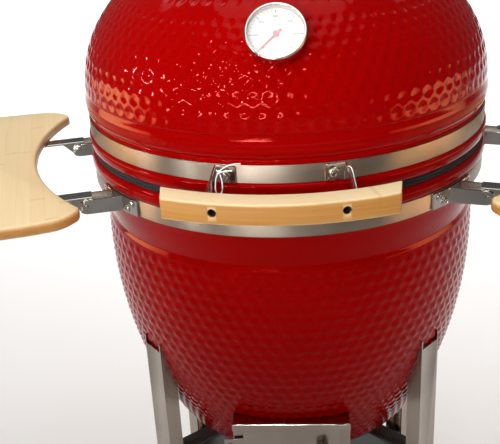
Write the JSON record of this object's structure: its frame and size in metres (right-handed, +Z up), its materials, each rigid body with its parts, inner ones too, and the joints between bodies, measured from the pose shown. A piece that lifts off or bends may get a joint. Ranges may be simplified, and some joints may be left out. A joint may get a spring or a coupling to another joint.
{
  "type": "kamado ceramic grill",
  "caption": "Egg-shaped ceramic charcoal grill with hinged dimpled lid, steel bands, bamboo handle and folding side shelves on a rolling stand.",
  "frame": {"origin": "on the floor, on the upright axis of the bowl", "axes": "+Z up, -Y towards the front where the handle is, +X to the right as seen from the front"},
  "size_m": [1.2398, 0.7538, 1.2266],
  "materials": {
    "red_glaze": "deep red gloss glaze over a dimpled ceramic body, smooth at lips and skirts",
    "felt": "charcoal grey felt gasket",
    "band_steel": "polished stainless band",
    "stand_steel": "polished stainless sheet, folded",
    "bright_steel": "bright plated brackets, straps and bolts",
    "bamboo": "pale laminated bamboo, satin lacquer",
    "fireclay": "unglazed fireclay liner",
    "cast_iron": "black cast iron, slightly rough",
    "black_steel": "black powder coat",
    "spring_steel": "oiled dark spring wire",
    "caster_rubber": "black rubber tread and pads",
    "dial_white": "printed white dial with scale marks and numbers",
    "pointer_red": "red needle",
    "dial_glass": "clear dial glass",
    "cotton": "white cotton string"
  },
  "bodies": {
    "root": {"base_shell": "red_glaze", "base_gasket": "felt", "base_band": "band_steel", "firebox": "fireclay", "fire_ring": "fireclay", "draft_frame": "stand_steel", "hinge_base": "stand_steel", "hinge_pin": "bright_steel", "hinge_spring_left": "spring_steel", "hinge_spring_right": "spring_steel", "bowl_cradle": "black_steel", "stand_tray": "black_steel", "stand_post_front_left": "stand_steel", "stand_post_front_right": "stand_steel", "stand_post_back_left": "stand_steel", "stand_post_back_right": "stand_steel", "post_pad_front_left": "caster_rubber", "post_pad_front_right": "caster_rubber", "post_pad_back_left": "caster_rubber", "post_pad_back_right": "caster_rubber", "shelf_bracket_left_front": "bright_steel", "shelf_bracket_left_back": "bright_steel", "shelf_bracket_right_front": "bright_steel", "shelf_bracket_right_back": "bright_steel"},
    "lid": {"lid_shell": "red_glaze", "lid_gasket": "felt", "lid_band": "band_steel", "lid_handle": "bamboo", "handle_strap_left": "bright_steel", "handle_strap_right": "bright_steel", "tie_string_left": "cotton", "tie_string_right": "cotton", "thermometer_case": "bright_steel", "thermometer_dial": "dial_white", "thermometer_glass": "dial_glass", "vent_gasket": "felt", "vent_collar": "cast_iron", "hinge_lid": "stand_steel"},
    "needle": {"thermometer_pointer": "pointer_red"},
    "vent_slider": {"vent_slider": "cast_iron"},
    "vent_wheel": {"vent_wheel": "cast_iron"},
    "charcoal_grate": {"charcoal_grate": "cast_iron"},
    "cooking_grate": {"cooking_grate": "bright_steel"},
    "draft_door": {"draft_door": "stand_steel"},
    "ash_screen": {"ash_screen": "stand_steel"},
    "shelf_left": {"shelf_board_left": "bamboo", "shelf_strap_left_front": "bright_steel", "shelf_strap_left_back": "bright_steel"},
    "shelf_right": {"shelf_board_right": "bamboo", "shelf_strap_right_front": "bright_steel", "shelf_strap_right_back": "bright_steel"},
    "caster_fork_front_left": {"caster_fork_front_left": "bright_steel"},
    "caster_wheel_front_left": {"caster_wheel_front_left": "caster_rubber"},
    "caster_fork_front_right": {"caster_fork_front_right": "bright_steel"},
    "caster_wheel_front_right": {"caster_wheel_front_right": "caster_rubber"},
    "caster_fork_back_left": {"caster_fork_back_left": "bright_steel"},
    "caster_wheel_back_left": {"caster_wheel_back_left": "caster_rubber"},
    "caster_fork_back_right": {"caster_fork_back_right": "bright_steel"},
    "caster_wheel_back_right": {"caster_wheel_back_right": "caster_rubber"}
  },
  "joints": [
    {"name": "lid_hinge", "type": "hinge", "parent": "root", "child": "lid", "pos_m": [0, 0.35, 0.884], "axis": [-1, 0, 0], "range_deg": [0, 75]},
    {"name": "needle_turn", "type": "hinge", "parent": "lid", "child": "needle", "pos_m": [0, -0.25909, 1.076], "axis": [0, 0.7617, -0.6479], "range_deg": [0, 270]},
    {"name": "vent_swing", "type": "hinge", "parent": "lid", "child": "vent_slider", "pos_m": [0.075, 0, 1.206], "axis": [0, 0, 1], "range_deg": [0, 80]},
    {"name": "vent_turn", "type": "hinge", "parent": "vent_slider", "child": "vent_wheel", "pos_m": [0, 0, 1.21], "axis": [0, 0, 1], "range_deg": [0, 36]},
    {"name": "charcoal_grate_lift", "type": "slide", "parent": "root", "child": "charcoal_grate", "axis": [0, 0, 1], "range_m": [0, 0.1]},
    {"name": "cooking_grate_lift", "type": "slide", "parent": "root", "child": "cooking_grate", "axis": [0, 0, 1], "range_m": [0, 0.05]},
    {"name": "draft_door_slide", "type": "slide", "parent": "root", "child": "draft_door", "axis": [1, 0, 0], "range_m": [0, 0.11]},
    {"name": "ash_screen_slide", "type": "slide", "parent": "root", "child": "ash_screen", "axis": [-1, 0, 0], "range_m": [0, 0.11]},
    {"name": "shelf_left_fold", "type": "hinge", "parent": "root", "child": "shelf_left", "pos_m": [-0.31125, -0.08632, 0.83605], "axis": [0.2672, -0.9636, 0], "range_deg": [0, 90]},
    {"name": "shelf_right_fold", "type": "hinge", "parent": "root", "child": "shelf_right", "pos_m": [0.31125, -0.08632, 0.83605], "axis": [0.2672, 0.9636, 0], "range_deg": [0, 90]},
    {"name": "caster_swivel_front_left", "type": "hinge", "parent": "root", "child": "caster_fork_front_left", "pos_m": [-0.20284, -0.1702, 0.088], "axis": [0, 0, 1], "continuous": true},
    {"name": "caster_roll_front_left", "type": "hinge", "parent": "caster_fork_front_left", "child": "caster_wheel_front_left", "pos_m": [-0.20284, -0.1482, 0.0375], "axis": [1, 0, 0], "continuous": true},
    {"name": "caster_swivel_front_right", "type": "hinge", "parent": "root", "child": "caster_fork_front_right", "pos_m": [0.20284, -0.1702, 0.088], "axis": [0, 0, 1], "continuous": true},
    {"name": "caster_roll_front_right", "type": "hinge", "parent": "caster_fork_front_right", "child": "caster_wheel_front_right", "pos_m": [0.20284, -0.1482, 0.0375], "axis": [1, 0, 0], "continuous": true},
    {"name": "caster_swivel_back_left", "type": "hinge", "parent": "root", "child": "caster_fork_back_left", "pos_m": [-0.20284, 0.1702, 0.088], "axis": [0, 0, 1], "continuous": true},
    {"name": "caster_roll_back_left", "type": "hinge", "parent": "caster_fork_back_left", "child": "caster_wheel_back_left", "pos_m": [-0.20284, 0.1922, 0.0375], "axis": [1, 0, 0], "continuous": true},
    {"name": "caster_swivel_back_right", "type": "hinge", "parent": "root", "child": "caster_fork_back_right", "pos_m": [0.20284, 0.1702, 0.088], "axis": [0, 0, 1], "continuous": true},
    {"name": "caster_roll_back_right", "type": "hinge", "parent": "caster_fork_back_right", "child": "caster_wheel_back_right", "pos_m": [0.20284, 0.1922, 0.0375], "axis": [1, 0, 0], "continuous": true}
  ]
}
